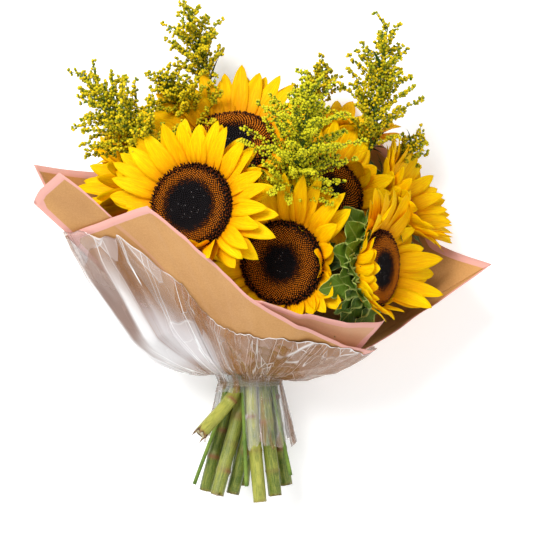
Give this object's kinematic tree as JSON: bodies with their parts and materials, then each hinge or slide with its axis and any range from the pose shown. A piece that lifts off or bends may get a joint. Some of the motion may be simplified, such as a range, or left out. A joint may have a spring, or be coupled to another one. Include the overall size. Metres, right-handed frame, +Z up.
{
  "type": "bunch of sunflowers",
  "caption": "Hand-tied bunch of cut sunflowers with goldenrod sprays, wrapped in kraft paper sheets and a clear film gathered round the stems, lying on its back.",
  "frame": {"origin": "middle of the flat spot under the back sheet of paper, on the surface that the bunch lies on", "axes": "+Z up from the surface, +Y from the cut stems towards the flowers, +X to the right seen from above with the stems nearest the viewer"},
  "size_m": [0.4098, 0.4496, 0.2188],
  "materials": {
    "kraft_paper": "smooth uncoated tan paper with a pale pink band along its edges",
    "clear_film": "glossy clear film with sharp creases",
    "band": "matt elastic band",
    "disc_florets": "matt, rough, fine spiral florets, near black in the middle and orange brown round it",
    "green_stem": "satin green with fine hairs and ribs",
    "petals": "soft satin yellow, deeper orange at the root",
    "goldenrod": "matt yellow-green buds on green twigs"
  },
  "bodies": {
    "root": {"wrap_front_sheet": "kraft_paper", "wrap_left_sheet": "kraft_paper", "wrap_inner_sheet": "kraft_paper", "wrap_back_sheet": "kraft_paper", "clear_film": "clear_film", "binding_band": "band", "sunflower_1_disc": "disc_florets", "sunflower_2_disc": "disc_florets", "sunflower_3_disc": "disc_florets", "sunflower_4_disc": "disc_florets", "sunflower_5_disc": "disc_florets", "sunflower_6_disc": "disc_florets", "sunflower_7_disc": "disc_florets", "sunflower_8_disc": "disc_florets", "sunflower_9_disc": "disc_florets", "sunflower_1_stem": "green_stem", "sunflower_2_stem": "green_stem", "sunflower_3_stem": "green_stem", "sunflower_4_stem": "green_stem", "sunflower_5_stem": "green_stem", "sunflower_6_stem": "green_stem", "sunflower_7_stem": "green_stem", "sunflower_8_stem": "green_stem", "sunflower_9_stem": "green_stem", "sunflower_1_petals": "petals", "sunflower_2_petals": "petals", "sunflower_3_petals": "petals", "sunflower_4_petals": "petals", "sunflower_5_petals": "petals", "sunflower_6_petals": "petals", "sunflower_7_petals": "petals", "sunflower_8_petals": "petals", "sunflower_9_petals": "petals", "goldenrod_1": "goldenrod", "goldenrod_2": "goldenrod", "goldenrod_3": "goldenrod", "goldenrod_4": "goldenrod", "goldenrod_5": "goldenrod", "goldenrod_6": "goldenrod", "goldenrod_7": "goldenrod"}
  },
  "joints": []
}
